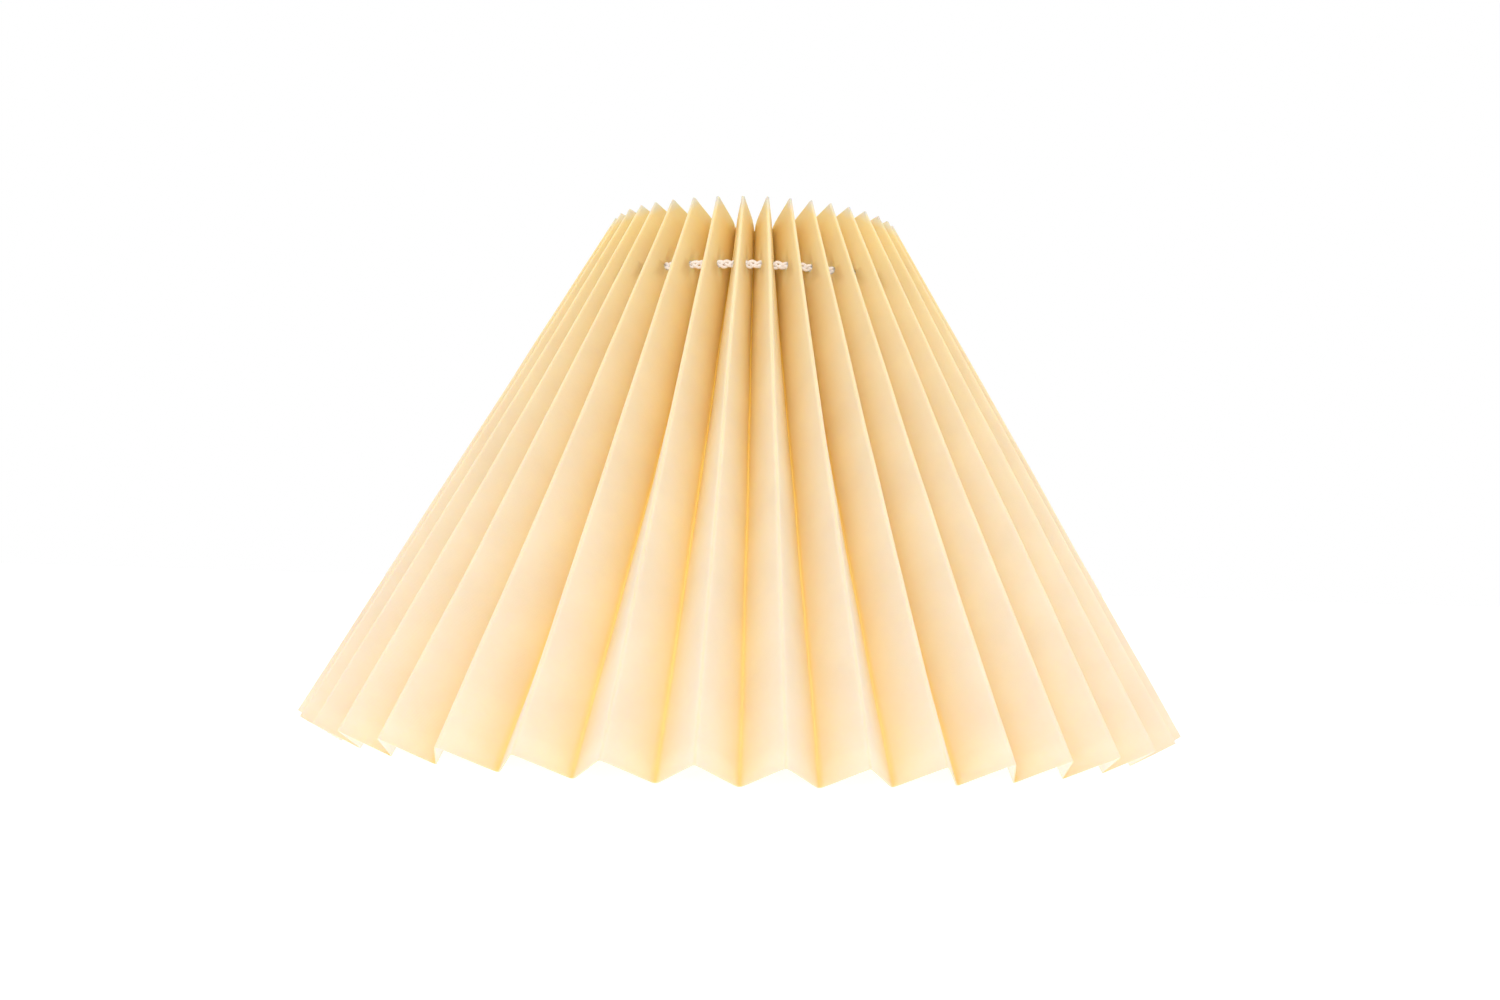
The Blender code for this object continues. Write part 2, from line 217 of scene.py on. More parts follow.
camera = bpy.data.objects.new("camera", bpy.data.cameras.new("camera"))
camera.data.lens = CAMERA_LENS
bpy.context.scene.collection.objects.link(camera)
facing = CAMERA_TURN - CAMERA_ASIDE
looks = Vector((-sin(facing) * cos(CAMERA_UP), cos(facing) * cos(CAMERA_UP), sin(CAMERA_UP)))
turn = looks.to_track_quat("-Z", "Y") @ Quaternion((0, 0, 1), CAMERA_ROLL)
stands = Vector((sin(CAMERA_TURN), -cos(CAMERA_TURN), 0)) * CAMERA_DISTANCE
stands += Vector((0, 0, CAMERA_HEIGHT))
camera.matrix_world = Matrix.Translation(stands) @ turn.to_matrix().to_4x4()
bpy.context.scene.camera = camera
print("camera at", [round(c, 3) for c in camera.matrix_world.translation])

# %% [markdown]
# ## Floor and light
#
# A white room gives the shade light from every side, as a light tent does. The floor
# is the opal top of a light table, which lights the lower edge from below and keeps shadows faint.
# Two weak soft lamps, in front and above, give the pleats their shape. The standard view transform
# keeps the white of the room white.

# %% Floor, world and lamps
def soft_lamp(name, place, size, power, target=(0, 0, 0.16)):
    lamp = bpy.data.lights.new(name, "AREA")
    lamp.size = size
    lamp.energy = power
    obj = bpy.data.objects.new(name, lamp)
    bpy.context.scene.collection.objects.link(obj)
    obj.matrix_world = turned_to(place, Vector(target) - Vector(place), "-Z")


def floor_material():
    """Opal acrylic of a light table: white, and lit from below, so shadows stay faint."""
    mat, tree, shader = new_material("Opal acrylic light table")
    fill(tree, shader, {"Base Color": linear("#d6d6d6"), "Roughness": 0.9, "Specular IOR Level": 0.1,
                        "Emission Color": linear("#fffefb"), "Emission Strength": 0.7})
    return mat


bm = bmesh.new()
bmesh.ops.create_grid(bm, x_segments=1, y_segments=1, size=4.0)
floor = new_object("floor", finished("floor", bm), floor_material())

world = bpy.data.worlds.new("white room")
world.use_nodes = True
world.node_tree.nodes["Background"].inputs["Color"].default_value = linear("#ffffff")
world.node_tree.nodes["Background"].inputs["Strength"].default_value = 1.0
bpy.context.scene.world = world
bpy.context.scene.view_settings.view_transform = "Standard"
soft_lamp("front lamp", (-0.2, -1.5, 0.4), 0.8, 2.6)
soft_lamp("upper lamp", (0.3, -0.9, 1.4), 0.9, 1.5)

# %% [markdown]
# ## The sheet's finish
#
# The sheet is a smooth cream fabric, laminated on a white backing. Laminating presses the threads
# flat, so the weave only shows as a very fine grain, and the glue behind it gives faint clouds.
# Light soaks through the fabric. Where the pleats stand close, towards the top and in the valleys,
# it has come by way of several layers and looks deeper. A sharp outer crease takes light from both
# sides and glows. All of this could be left to the light, but painted shade does it surely: the
# colour is deepened towards the valleys and the top, and held back a little along each outer
# crease. The flat pattern is kept as a UV map in metres, so that threads, clouds and painted shade
# follow the cloth through every fold.

# %% Fabric material
THREAD = 0.5 * MM       # real threads lie 0.25 mm apart, drawn coarser so that they show
CLOUD = 22 * MM         # size of the faint clouds in the lamination
FLECK = 1.6 * MM        # slubs and flecks of the yarn
CREST_SHADE_WIDTH = 0.45 * MM  # painted shade on either side of an outer fold, holding back its glow
VALLEY_SHADE_WIDTH = 2 * MM    # painted shade, deeper colour on either side of an inner fold
TIP_LENGTH = 7 * MM           # length of the paler tips at the upper edge
TIP_SLOPE = 1.6         # how steeply the worn place narrows away from the fold
# how strong the painted shade is, from 0 to 1
TOP_CREST_SHADE = 0.62           # on an outer fold at the upper edge; at the foot it has none
VALLEY_SHADE_FOOT = 0.35     # in a valley at the foot
VALLEY_SHADE_GAIN = 0.5      # what a valley gains up to the upper edge
VALLEY_LINE_SHADE = 0.35     # what the line along an inner fold adds
CREST_SHADE_LINE_FOOT = 0.3       # strength of the line along an outer fold at the foot; 1 at the top


def fabric_material(name, colour, crest_shade_colour, deep_shade_colour, tip_colour):
    """Laminated fabric: matt, finely woven, with painted shade deepening its colour in the valleys and
    towards the top and holding it back along the outer folds.
    """
    mat, tree, shader = new_material(name)
    flat = add(tree, "ShaderNodeUVMap", uv_map="flat")
    place = add(tree, "ShaderNodeSeparateXYZ", {0: flat})
    values = {"across": place.outputs[0], "up": place.outputs[1]}
    work_out(tree, values, [
        ("in pleat", "DIVIDE", "across", 2 * STRIP),
        ("share", "FRACT", "in pleat"),
        ("from middle", "SUBTRACT", "share", 0.5),
        ("to crest", "ABSOLUTE", "from middle"),
        ("valley side", "MULTIPLY", "to crest", 2.0),
        ("crest distance", "MULTIPLY", "valley side", STRIP),
        ("crest near", "DIVIDE", "crest distance", CREST_SHADE_WIDTH),
        ("crest fade", "MINIMUM", "crest near", 1.0),
        ("crest full", "SUBTRACT", 1.0, "crest fade"),
        # painted shade: deeper towards the valley, and the more so the higher up
        ("valley near", "POWER", "valley side", 1.5),
        ("up share", "DIVIDE", "up", FOLD_LENGTH),
        ("crest share", "MULTIPLY_ADD", "up share", 1 - CREST_SHADE_LINE_FOOT, CREST_SHADE_LINE_FOOT),
        ("crest shade line", "MULTIPLY", "crest full", "crest share"),
        ("up late", "POWER", "up share", 2.2),
        ("shade at crest", "MULTIPLY", "up late", TOP_CREST_SHADE),
        ("valley full", "MULTIPLY_ADD", "up share", VALLEY_SHADE_GAIN, VALLEY_SHADE_FOOT),
        ("valley more", "SUBTRACT", "valley full", "shade at crest"),
        ("shade over strip", "MULTIPLY_ADD", "valley near", "valley more", "shade at crest"),
        ("valley distance", "SUBTRACT", STRIP, "crest distance"),
        ("valley off", "DIVIDE", "valley distance", VALLEY_SHADE_WIDTH),
        ("valley fade", "MINIMUM", "valley off", 1.0),
        ("valley shade line", "MULTIPLY_ADD", "valley fade", -VALLEY_LINE_SHADE, VALLEY_LINE_SHADE),
        ("painted shade", "ADD", "shade over strip", "valley shade line"),
        # the tips at the upper edge are paler
        ("under edge", "SUBTRACT", FOLD_LENGTH, "up"),
        ("under tip", "MULTIPLY_ADD", "crest distance", TIP_SLOPE, "under edge"),
        ("tip share", "DIVIDE", "under tip", TIP_LENGTH),
        ("tip fade", "MINIMUM", "tip share", 1.0),
        ("pale tips", "SUBTRACT", 1.0, "tip fade"),
        ("warp turn", "MULTIPLY", "across", 2 * pi / THREAD),
        ("weft turn", "MULTIPLY", "up", 2 * pi / THREAD),
        ("warp", "SINE", "warp turn"),
        ("weft", "SINE", "weft turn"),
        ("weave", "MULTIPLY", "warp", "weft"),
    ])
    cloud = add(tree, "ShaderNodeTexNoise", {"Vector": flat, "Scale": 1 / CLOUD, "Detail": 4.0,
                                             "Roughness": 0.55})
    fleck = add(tree, "ShaderNodeTexNoise", {"Vector": flat, "Scale": 1 / FLECK, "Detail": 3.0})
    clouds = add(tree, "ShaderNodeMapRange", {0: cloud, 1: 0.35, 2: 0.65, 3: 0.965, 4: 1.02})
    tinted = linear(colour)
    for tint, tint_colour in (("painted shade", deep_shade_colour), ("crest shade line", crest_shade_colour),
                              ("pale tips", tip_colour)):
        tinted = add(tree, "ShaderNodeMix", {0: values[tint], 6: tinted, 7: linear(tint_colour)},
                     data_type="RGBA").outputs[2]
    shaded = add(tree, "ShaderNodeMix", {0: 1.0, 6: tinted, 7: clouds},
                 data_type="RGBA", blend_type="MULTIPLY")
    rough = add(tree, "ShaderNodeMapRange", {0: fleck, 1: 0.3, 2: 0.7, 3: 0.62, 4: 0.74})
    relief = add(tree, "ShaderNodeMath", {0: values["weave"], 1: 0.35, 2: fleck},
                 operation="MULTIPLY_ADD")
    bump = add(tree, "ShaderNodeBump", {"Height": relief, "Strength": 0.35, "Distance": 0.08 * MM})
    fill(tree, shader, {"Base Color": shaded.outputs[2], "Roughness": rough, "Normal": bump,
                        "Specular IOR Level": 0.3})
    # light soaks into the fabric and comes out on the other side, warmer
    fill(tree, shader, {"Subsurface Weight": 0.6, "Subsurface Radius": (1.0, 0.7, 0.35),
                        "Subsurface Scale": 1.0 * MM})
    return mat


def plain_material(name, colour, roughness, grain, relief, specular=0.5):
    """A finish of one colour with faint clouds, and a fine relief of a real grain size."""
    mat, tree, shader = new_material(name)
    place = add(tree, "ShaderNodeTexCoord").outputs["Object"]
    fine = add(tree, "ShaderNodeTexNoise", {"Vector": place, "Scale": 1 / grain, "Detail": 3.0})
    broad = add(tree, "ShaderNodeTexNoise", {"Vector": place, "Scale": 1 / (12 * MM), "Detail": 2.0})
    clouds = add(tree, "ShaderNodeMapRange", {0: broad, 1: 0.3, 2: 0.7, 3: 0.94, 4: 1.0})
    shaded = add(tree, "ShaderNodeMix", {0: 1.0, 6: linear(colour), 7: clouds},
                 data_type="RGBA", blend_type="MULTIPLY")
    rough = add(tree, "ShaderNodeMapRange", {0: broad, 1: 0.3, 2: 0.7, 3: roughness * 0.9,
                                             4: roughness * 1.1})
    bump = add(tree, "ShaderNodeBump", {"Height": fine, "Strength": 0.4, "Distance": relief})
    fill(tree, shader, {"Base Color": shaded.outputs[2], "Roughness": rough, "Normal": bump,
                        "Specular IOR Level": specular})
    return mat


# the second and third colours are painted shade, along the outer creases and in the valleys and towards the
# top; the last is the paler tips
cream_fabric = fabric_material("Cream laminated fabric", "#ebdbc6", "#edd5aa", "#fdd46c", "#ebe2d2")
white_backing = fabric_material("White laminate backing", "#f8f2e6", "#f8f3e8", "#f7eddb", "#f1ece2")
cut_edge = plain_material("Cut edge of the laminate", "#f7e6c8", 0.8, 0.4 * MM, 0.05 * MM, 0.2)
print("fabric nodes:", len(cream_fabric.node_tree.nodes))

# %% [markdown]
# ## One flat pleat
#
# A pleat runs from valley to valley over its outer fold. It could be a plain grid, but the real
# sheet is punched while it is flat, so the holes belong in the flat pattern. A constrained
# triangulation fills the outline, with the cord holes left out and with more columns near the
# folds, where the sheet will be bent.

# %% Flat pattern of a pleat
COLUMNS = (0, 0.012, 0.03, 0.06, LAP_START / STRIP, 0.20, 0.32, 0.45, 0.58, LAP / STRIP, 0.80, 0.90,
           0.945, 0.97, 0.988, 1)      # across a strip, from outer to inner fold
ROW_STEP = 7.5 * MM         # up a strip
HOLE_R = 1.35 * MM          # the braid is pinched to this in its hole
HOLE_SIDES = 16
CORD_S = FOLD_LENGTH - CORD_DOWN


def full_turn(count):
    return [2 * pi * i / count for i in range(count)]


def evenly(start, end, step):
    count = max(1, ceil((end - start) / step))
    return [start + (end - start) * i / count for i in range(count + 1)]


def flat_panel(across, up, holes, cuts=()):
    """Points and triangles of a flat panel with cord holes. No triangle crosses a cut line."""
    low, high, left, right = up[0], up[-1], across[0], across[-1]
    outline = [(x, low) for x in across[:-1]] + [(right, s) for s in up[:-1]]
    outline += [(x, high) for x in across[:0:-1]] + [(left, s) for s in up[:0:-1]]
    loops = [outline]
    for x, s in holes:
        loops.append([(x + HOLE_R * cos(a), s + HOLE_R * sin(a)) for a in full_turn(HOLE_SIDES)])
    points, edges = [], []
    for loop in loops:
        first = len(points)
        points += loop
        edges += [(first + i, first + (i + 1) % len(loop)) for i in range(len(loop))]
    hole_corners = range(len(outline), len(points))
    keep_off = HOLE_R * 1.25
    for x in across[1:-1]:
        column = [(x, s) for s in up[1:-1]
                  if all((x - hx) ** 2 + (s - hs) ** 2 > keep_off ** 2 for hx, hs in holes)]
        if x in cuts:
            first = len(points)
            edges += [(first + i, first + i + 1) for i in range(len(column) - 1)]
            edges += [(outline.index((x, low)), first), (outline.index((x, high)), first + len(column) - 1)]
        points += column
    verts, _, faces, came_from, _, _ = delaunay_2d_cdt([Vector(p) for p in points], edges, [], 1, 1e-7)
    faces = [f for f in faces if not all(came_from[v][0] in hole_corners for v in f)]
    mesh = bpy.data.meshes.new("flat_panel")
    mesh.from_pydata([(v.x, v.y, 0.0) for v in verts], [], faces)
    return mesh


across = sorted({STRIP * (1 + side * c) for c in COLUMNS for side in (-1, 1)})
lap_edges = [min(across, key=lambda x: abs(x - STRIP - width)) for width in (LAP_START, LAP)]
cord_holes = [(STRIP * (1 + side * CORD_SHARE), CORD_S) for side in (-1, 1)]
pleat_mesh = flat_panel(across, evenly(0, FOLD_LENGTH, ROW_STEP), cord_holes, lap_edges)
skin = new_object("pleated_sheet", pleat_mesh)
print("flat pleat:", len(pleat_mesh.vertices), "points,", len(pleat_mesh.polygons), "triangles")

# %% [markdown]
# ## Folding the sheet
#
# The tree below does what the shade maker does. It sets the flat pleats side by side, welds them
# into one strip, and moves every point by one rule. The outer folds lie on a cone. Under each one
# the pleat is as deep as the strip's width allows, which puts the inner folds a little deeper at
# the top than at the bottom. Strips aren't quite flat: near the cord they bow into the groove, and
# no two pleats spread quite alike, so a slow wave and a little noise move them.

# %% The folding rule in Geometry Nodes
FOLD_ROUND = 0.02           # share of a strip that the roundness of a fold takes up
WAVES = 4                   # slow waves of wide and narrow pleats round the foot
WAVE_START = radians(-6)
WAVE_LEVEL = 0.3            # taken off the wave, so that the front stays where it is
TIP_WAVES = 5               # waves of the tips in front
TIP_START = radians(-20)
BOW_SLOPE, BOW_START = 1.5, -0.25       # the bow grows across a strip from the outer fold
UNEVEN_TOP = 0.5            # unevenness at the upper edge, as a share of that at the foot
UNEVEN_SCALE = 20           # patches of unevenness in a metre


def folding_tree(material):
    tree, given = node_tree(
        "Fold a sheet", Copies=1, Start=1.0, End=1.0, Pleats=1, Strip=1.0, Length=1.0,
        Bottom_radius=1.0, Top_radius=1.0, Lift=1.0, Crease=1.0, Bow=1.0, Spread=1.0, Shift=1.0,
        Unevenness=1.0, Lap_from=1.0, Lap_ramp=1.0, Lap_lift=1.0, Material=material)
    row = add(tree, "GeometryNodeMeshLine", {"Count": given["Copies"]})
    step = add(tree, "ShaderNodeMath", {0: given["Strip"], 1: 2.0}, operation="MULTIPLY")
    offset = add(tree, "ShaderNodeCombineXYZ", {0: step})
    tree.links.new(offset.outputs[0], row.inputs["Offset"])
    copies = add(tree, "GeometryNodeInstanceOnPoints",
                 {"Points": row, "Instance": given["Geometry"]})
    real = add(tree, "GeometryNodeRealizeInstances", {0: copies})
    strip = add(tree, "GeometryNodeMergeByDistance", {"Geometry": real, "Distance": 0.01 * MM})
    here = add(tree, "GeometryNodeInputPosition")
    flat_x = add(tree, "ShaderNodeSeparateXYZ", {0: here}).outputs[0]
    before = add(tree, "FunctionNodeCompare", {0: flat_x, 1: given["Start"]}, operation="LESS_THAN")
    after = add(tree, "FunctionNodeCompare", {0: flat_x, 1: given["End"]}, operation="GREATER_THAN")
    beyond = add(tree, "FunctionNodeBooleanMath", {0: before, 1: after}, operation="OR")
    cut = add(tree, "GeometryNodeDeleteGeometry", {"Geometry": strip, "Selection": beyond}, domain="FACE")
    mapped = add(tree, "GeometryNodeStoreNamedAttribute",
                 {"Geometry": cut, "Name": "flat", "Value": here},
                 data_type="FLOAT2", domain="CORNER")
    place = add(tree, "ShaderNodeSeparateXYZ", {0: here})
    values = {"x": place.outputs[0], "s": place.outputs[1], **given}
    work_out(tree, values, [
        ("half pitch", "DIVIDE", pi, "Pleats"),
        ("narrowing", "SUBTRACT", "Bottom radius", "Top radius"),
        ("lean sin", "DIVIDE", "narrowing", "Length"),
        ("lean sin squared", "MULTIPLY", "lean sin", "lean sin"),
        ("lean cos squared", "SUBTRACT", 1.0, "lean sin squared"),
        ("lean cos", "SQRT", "lean cos squared"),
        ("pleat width", "MULTIPLY", "Strip", 2.0),
        ("pleats passed", "DIVIDE", "x", "pleat width"),
        ("pleat", "FLOOR", "pleats passed"),
        ("in pleat", "SUBTRACT", "pleats passed", "pleat"),
        ("centred", "MULTIPLY_ADD", "in pleat", 2.0, -1.0),
        ("side", "SIGN", "centred"),
        ("share", "ABSOLUTE", "centred"),           # 0 at the outer fold, 1 at the inner one
        ("rest", "SUBTRACT", 1.0, "share"),
        # the cone of the outer folds, and the depth that keeps the strip's width
        ("narrowed", "MULTIPLY", "s", "lean sin"),
        ("crest radius", "SUBTRACT", "Bottom radius", "narrowed"),
        ("cos pitch", "COSINE", "half pitch"),
        ("bend", "SUBTRACT", 1.0, "cos pitch"),
        ("lean by bend", "MULTIPLY", "lean cos", "bend"),
        ("lean", "MULTIPLY", "crest radius", "lean by bend"),
        ("lean squared", "MULTIPLY", "lean", "lean"),
        ("strip squared", "MULTIPLY", "Strip", "Strip"),
        ("crest squared", "MULTIPLY", "crest radius", "crest radius"),
        ("chord", "MULTIPLY", "crest squared", "bend"),
        ("chord squared", "MULTIPLY", "chord", 2.0),
        ("both", "ADD", "lean squared", "strip squared"),
        ("under root", "SUBTRACT", "both", "chord squared"),
        ("root", "SQRT", "under root"),
        ("depth", "ADD", "lean", "root"),
        ("inward", "MULTIPLY", "depth", "lean cos"),
        ("valley radius", "SUBTRACT", "crest radius", "inward"),
        ("sin pitch", "SINE", "half pitch"),
        ("valley aside", "MULTIPLY", "valley radius", "sin pitch"),
        ("valley ahead", "MULTIPLY", "valley radius", "cos pitch"),
        # rounded folds: both ends of the strip leave their fold on a small hyperbola
        ("share squared", "MULTIPLY_ADD", "share", "share", FOLD_ROUND ** 2),
        ("share rounded", "SQRT", "share squared"),
        ("rest squared", "MULTIPLY_ADD", "rest", "rest", FOLD_ROUND ** 2),
        ("rest rounded", "SQRT", "rest squared"),
        ("sum", "SUBTRACT", "share rounded", "rest rounded"),
        ("down", "ADD", "sum", "rest"),
        ("off crest", "DIVIDE", "share", "share rounded"),
        ("off valley", "DIVIDE", "rest", "rest rounded"),
        ("off both", "MULTIPLY", "off crest", "off valley"),
        ("swap", "MULTIPLY_ADD", "share", -2.0, 1.0),
        ("apart", "MULTIPLY", "off both", "swap"),
        ("crease aside", "MULTIPLY", "apart", "Crease"),
        # the bow of a strip into the groove, strongest at the top and towards the inner fold
        ("up share", "DIVIDE", "s", "Length"),
        ("bow shape", "MULTIPLY_ADD", "share", BOW_SLOPE, BOW_START),
        ("bow full", "MULTIPLY", "bow shape", "Bow"),
        ("bow here", "MULTIPLY", "up share", "bow full"),
        ("hump", "MULTIPLY", "share", "rest"),
        ("hump by four", "MULTIPLY", "hump", 4.0),
        ("bow aside", "MULTIPLY", "hump by four", "bow here"),
        ("straight aside", "MULTIPLY", "share", "valley aside"),
        ("aside creased", "ADD", "straight aside", "crease aside"),
        ("aside", "ADD", "aside creased", "bow aside"),
        ("fall", "SUBTRACT", "valley ahead", "crest radius"),
        ("ahead", "MULTIPLY_ADD", "fall", "down", "crest radius"),
        ("depth down", "MULTIPLY", "depth", "down"),
        ("sunk", "MULTIPLY", "depth down", "lean sin"),
        ("rise", "MULTIPLY", "s", "lean cos"),
        ("height", "SUBTRACT", "rise", "sunk"),
        ("z", "ADD", "height", "Lift"),
        # round the axis, pleat by pleat, with a slow wave that spreads some pleats wider
        ("ahead squared", "MULTIPLY", "ahead", "ahead"),
        ("out squared", "MULTIPLY_ADD", "aside", "aside", "ahead squared"),
        ("out", "SQRT", "out squared"),
        ("turned", "ARCTAN2", "aside", "ahead"),
        ("turned by side", "MULTIPLY", "turned", "side"),
        ("pleat turn", "MULTIPLY_ADD", "pleat", 2.0, 1.0),
        ("mountain turn", "MULTIPLY_ADD", "pleat turn", "half pitch", pi),
        ("angle", "ADD", "mountain turn", "turned by side"),
        ("wave turn", "MULTIPLY_ADD", "angle", WAVES, WAVE_START),
        ("wave", "COSINE", "wave turn"),
        ("wave centred", "SUBTRACT", "wave", WAVE_LEVEL),
        ("toward foot", "SUBTRACT", 1.0, "up share"),
        ("spread here", "MULTIPLY", "Spread", "toward foot"),
        ("spread angle", "MULTIPLY_ADD", "wave centred", "spread here", "angle"),
        # the cord isn't drawn quite evenly, so the tips in front stand a little apart
        ("tip turn", "MULTIPLY_ADD", "angle", TIP_WAVES, TIP_START),
        ("tip wave", "COSINE", "tip turn"),
        ("cos round", "COSINE", "angle"),
        ("front", "MULTIPLY_ADD", "cos round", 0.5, 0.5),
        ("tip wave in front", "MULTIPLY", "tip wave", "front"),
        ("tip shift", "MULTIPLY", "up share", "Shift"),
        ("settled angle", "MULTIPLY_ADD", "tip wave in front", "tip shift", "spread angle"),
        ("sin angle", "SINE", "settled angle"),
        ("cos angle", "COSINE", "settled angle"),
        ("X", "MULTIPLY", "out", "sin angle"),
        ("minus Y", "MULTIPLY", "out", "cos angle"),
        ("Y", "MULTIPLY", "minus Y", -1.0),
        # the lap climbs over the edge of the first strip
        ("past fold", "SUBTRACT", "x", "Lap from"),
        ("past ramp", "DIVIDE", "past fold", "Lap ramp"),
        ("ramp low", "MAXIMUM", "past ramp", 0.0),
        ("ramp", "MINIMUM", "ramp low", 1.0),
        ("stand off", "MULTIPLY", "ramp", "Lap lift"),
        ("slack", "MULTIPLY_ADD", "toward foot", 1 - UNEVEN_TOP, UNEVEN_TOP),
        ("uneven", "MULTIPLY", "slack", "Unevenness"),
    ])
    stand_off = add(tree, "GeometryNodeCaptureAttribute", {"Geometry": mapped})
    for name in ("stand off", "uneven"):
        stand_off.capture_items.new("FLOAT", name)
        tree.links.new(values[name].outputs[0], stand_off.inputs[name])
    folded = add(tree, "ShaderNodeCombineXYZ", {0: values["X"], 1: values["Y"], 2: values["z"]})
    shaped = add(tree, "GeometryNodeSetPosition", {"Geometry": stand_off, "Position": folded})
    normal = add(tree, "GeometryNodeInputNormal")
    off = add(tree, "ShaderNodeVectorMath", {0: normal, "Scale": stand_off.outputs["stand off"]},
              operation="SCALE")
    lapped = add(tree, "GeometryNodeSetPosition", {"Geometry": shaped, "Offset": off})
    noise = add(tree, "ShaderNodeTexNoise", {"Vector": here, "Scale": UNEVEN_SCALE, "Detail": 1.0})
    centred = add(tree, "ShaderNodeVectorMath", {0: noise.outputs["Color"], 1: (0.5, 0.5, 0.5)},
                  operation="SUBTRACT")
    nudge = add(tree, "ShaderNodeVectorMath", {0: centred, "Scale": stand_off.outputs["uneven"]},
                operation="SCALE")
    uneven = add(tree, "GeometryNodeSetPosition", {"Geometry": lapped, "Offset": nudge})
    return end_tree(tree, add(tree, "GeometryNodeSetShadeSmooth", {"Geometry": uneven}), given)


fold = folding_tree(cream_fabric)
fold_sizes = dict(Pleats=PLEATS, Strip=STRIP, Length=FOLD_LENGTH, Bottom_radius=BOTTOM_R,
                  Top_radius=TOP_R, Lift=LIFT, Crease=0.3 * MM, Bow=0.8 * MM, Spread=radians(1.3),
                  Shift=radians(0.9), Unevenness=1.2 * MM)
LAST_FOLD = (2 * PLEATS + 1) * STRIP        # the outer fold that the lap comes over
node_modifier(skin, fold, Copies=PLEATS + 1, Start=STRIP + LAP_START, End=LAST_FOLD + LAP,
              Lap_from=LAST_FOLD, Lap_ramp=LAP_START, Lap_lift=LAP_LIFT, Material=cream_fabric,
              **fold_sizes)
skin = baked(skin)
print("folded sheet:", triangles(skin), "triangles, top at",
      round(max(v.co.z for v in skin.data.vertices) / MM, 1), "mm")


# %% Thickness: cream outside, white backing inside, the core at the cut edges
def thicken(obj, thickness, *materials):
    """Gives a sheet its wall: outer face, inner face and cut edge in materials of their own."""
    obj.data.materials.clear()
    for mat in materials:
        obj.data.materials.append(mat)
    wall = obj.modifiers.new("wall", "SOLIDIFY")
    wall.thickness = thickness
    wall.offset = 0.0
    wall.material_offset = min(1, len(materials) - 1)
    wall.material_offset_rim = min(2, len(materials) - 1)
    wall.use_quality_normals = True
    return baked(obj)


skin = thicken(skin, SHEET, cream_fabric, white_backing, cut_edge)
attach(skin, "shade")
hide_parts("pleated_skin")
print("sheet:", triangles(skin), "triangles")

# %% [markdown]
# ## The tape in the lap
#
# The closing lap is held by a strip of double-sided tape, which only shows as a thin edge under
# the lap at the back. It is cut flat like the sheet and folded by the same rule, half as far off
# the strip as the lap.

# %% Seam tape
TAPE_EDGE = 0.9 * MM        # tape kept back from the long edges of the lap
TAPE_END = 4 * MM           # and from the upper and lower edges

tape_clear = plain_material("Double-sided tissue tape", "#f1ead8", 0.5, 0.5 * MM, 0.03 * MM)
tape_across = evenly(STRIP + LAP_START + TAPE_EDGE, STRIP + LAP - TAPE_EDGE, 2 * MM)
tape_mesh = flat_panel(tape_across, evenly(TAPE_END, FOLD_LENGTH - TAPE_END, ROW_STEP), cord_holes[1:])
tape = new_object("seam_tape_strip", tape_mesh)
node_modifier(tape, fold, Copies=1, Start=0.0, End=1.0, Lap_from=0.0, Lap_ramp=LAP_START,
              Lap_lift=LAP_LIFT / 2, Material=tape_clear, **fold_sizes)
tape = thicken(baked(tape), TAPE, tape_clear)
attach(tape, "shade")
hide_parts("seam_tape")
print("tape:", triangles(tape), "triangles")

# %% [markdown]
# ## The gathering cord
#
# The cord is a soft flat braid of three cotton strands. Each hole pinches it, and it spreads again
# in the open groove. A plain tube would miss both, so a tree lays three strands along any path:
# each one swings up and down once in a braid length, and in and out twice, a third of a turn
# behind its neighbour. The same tree then makes the ring, the knot and its two ends.

# %% Cord material
YARN = 0.6 * MM         # lay of the twisted yarn in a strand


def cord_material():
    """Bleached cotton: very matt, with the slanted yarns of each strand and a little fuzz."""
    mat, tree, shader = new_material("Bleached cotton braid")
    place = add(tree, "ShaderNodeSeparateXYZ", {0: add(tree, "ShaderNodeUVMap", uv_map="yarn")})
    values = {"along": place.outputs[0], "round": place.outputs[1]}
    work_out(tree, values, [
        ("lays", "DIVIDE", "along", YARN),
        ("slant", "ADD", "lays", "round"),
        ("turn", "MULTIPLY", "slant", 2 * pi),
        ("yarn", "SINE", "turn"),
    ])
    fuzz = add(tree, "ShaderNodeTexNoise", {"Scale": 1 / (0.3 * MM), "Detail": 3.0,
                                            "Vector": add(tree, "ShaderNodeTexCoord").outputs["Object"]})
    relief = add(tree, "ShaderNodeMath", {0: values["yarn"], 1: 0.6, 2: fuzz}, operation="MULTIPLY_ADD")
    bump = add(tree, "ShaderNodeBump", {"Height": relief, "Strength": 0.4, "Distance": 0.08 * MM})
    # painted shade in the yarn: darker where the relief is low, lighter on its crowns
    yarn_groove_shade = add(tree, "ShaderNodeMapRange", {0: relief, 1: -0.4, 2: 1.2, 3: 0.0, 4: 1.0})
    colour = add(tree, "ShaderNodeMix", {0: yarn_groove_shade, 6: linear("#f8efe9"), 7: linear("#fefbf9")},
                 data_type="RGBA")
    fill(tree, shader, {"Base Color": colour.outputs[2], "Normal": bump, "Roughness": 0.85,
                        "Specular IOR Level": 0.25, "Sheen Weight": 0.2})
    return mat


cotton = cord_material()

# %% Braid along a path
BRAID_LENGTH = 8.2 * MM     # of one full swing of a strand
STRAND_R = 0.5 * MM
BRAID_UP = 1.05 * MM        # how far a strand swings up and down
BRAID_IN = 0.3 * MM         # and in and out


